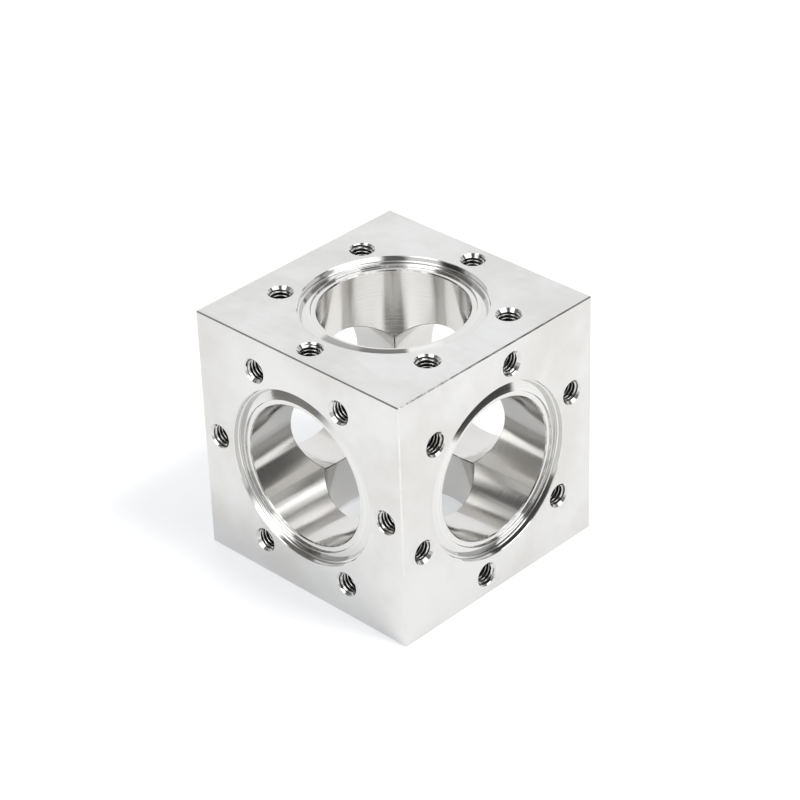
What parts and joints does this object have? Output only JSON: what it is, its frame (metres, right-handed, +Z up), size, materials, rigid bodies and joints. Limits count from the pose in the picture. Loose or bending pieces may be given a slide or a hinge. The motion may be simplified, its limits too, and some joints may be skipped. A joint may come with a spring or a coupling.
{
  "type": "vacuum chamber",
  "caption": "Cube-shaped six-way vacuum chamber of machined stainless steel, with a knife-edge port and a ring of tapped holes on each face and bores that cross at the centre.",
  "frame": {"origin": "middle of the underside, on the lower port's axis", "axes": "+Z up along the vertical bore, +X and -Y towards the two side ports that the picture shows"},
  "size_m": [0.07, 0.07, 0.07],
  "materials": {
    "stainless": "fine-milled flats, bright-turned ports and bores"
  },
  "bodies": {
    "root": {"chamber_body": "stainless"}
  },
  "joints": []
}
